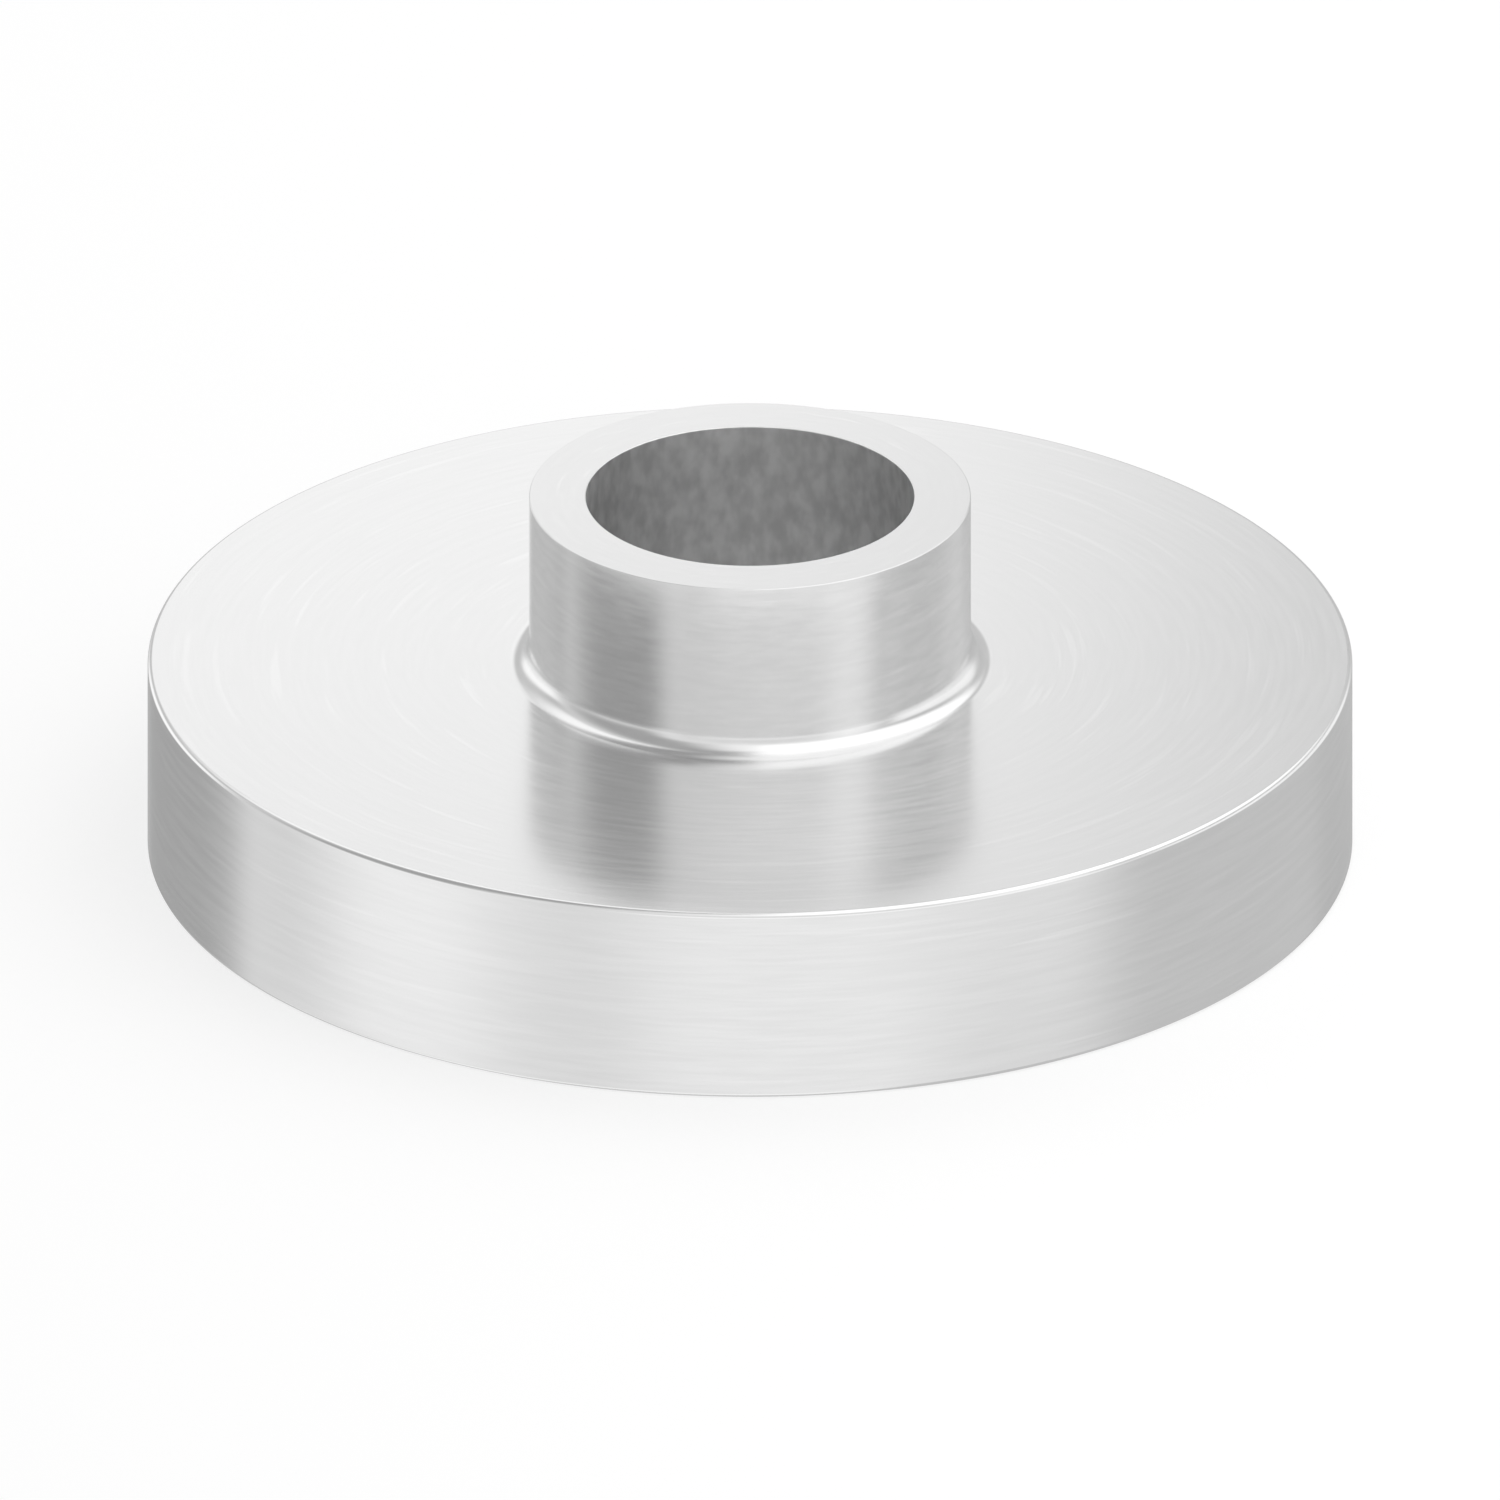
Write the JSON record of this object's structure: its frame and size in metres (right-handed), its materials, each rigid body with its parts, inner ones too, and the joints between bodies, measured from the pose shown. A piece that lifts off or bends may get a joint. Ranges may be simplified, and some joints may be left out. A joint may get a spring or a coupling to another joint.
{
  "type": "turned flanged hub",
  "caption": "Thick round flange with a short central hub and a plain through bore, turned from one bar, with a concave radius at the hub's foot.",
  "frame": {"origin": "on the turning axis, at the centre of the flange's underside", "axes": "+Z along the turning axis, from the flange's underside towards the open end of the hub; X and Y are any two square directions across it"},
  "size_m": [0.12, 0.12, 0.0382],
  "materials": {
    "turned_aluminium": "fine turned, satin, with concentric tool marks"
  },
  "bodies": {
    "root": {"flanged_hub": "turned_aluminium"}
  },
  "joints": []
}
